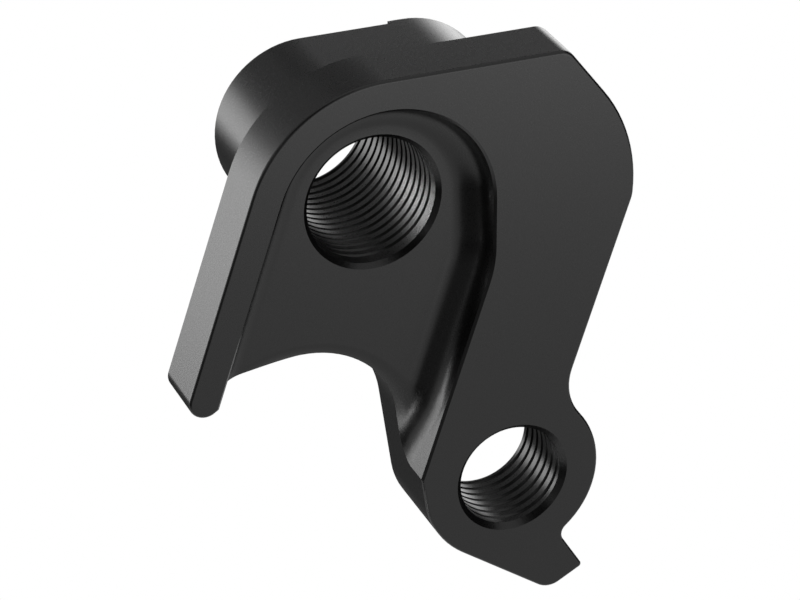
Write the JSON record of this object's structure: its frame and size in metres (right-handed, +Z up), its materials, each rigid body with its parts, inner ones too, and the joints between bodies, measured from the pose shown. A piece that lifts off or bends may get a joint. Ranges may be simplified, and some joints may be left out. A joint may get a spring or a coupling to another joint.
{
  "type": "bicycle derailleur hanger",
  "caption": "Black aluminium derailleur hanger with a threaded axle boss, an open pocket for the hub's end cap, and a lower eye threaded for the derailleur bolt.",
  "frame": {"origin": "on the axle thread's axis, in the plane of the plate's back, which seats on the frame", "axes": "+X to the rear of the bicycle, +Z up, +Y outboard along the axle, away from the wheel"},
  "size_m": [0.0381, 0.0201, 0.0493],
  "materials": {
    "anodised_aluminium": "black anodised, satin"
  },
  "bodies": {
    "root": {"derailleur_hanger": "anodised_aluminium"}
  },
  "joints": []
}
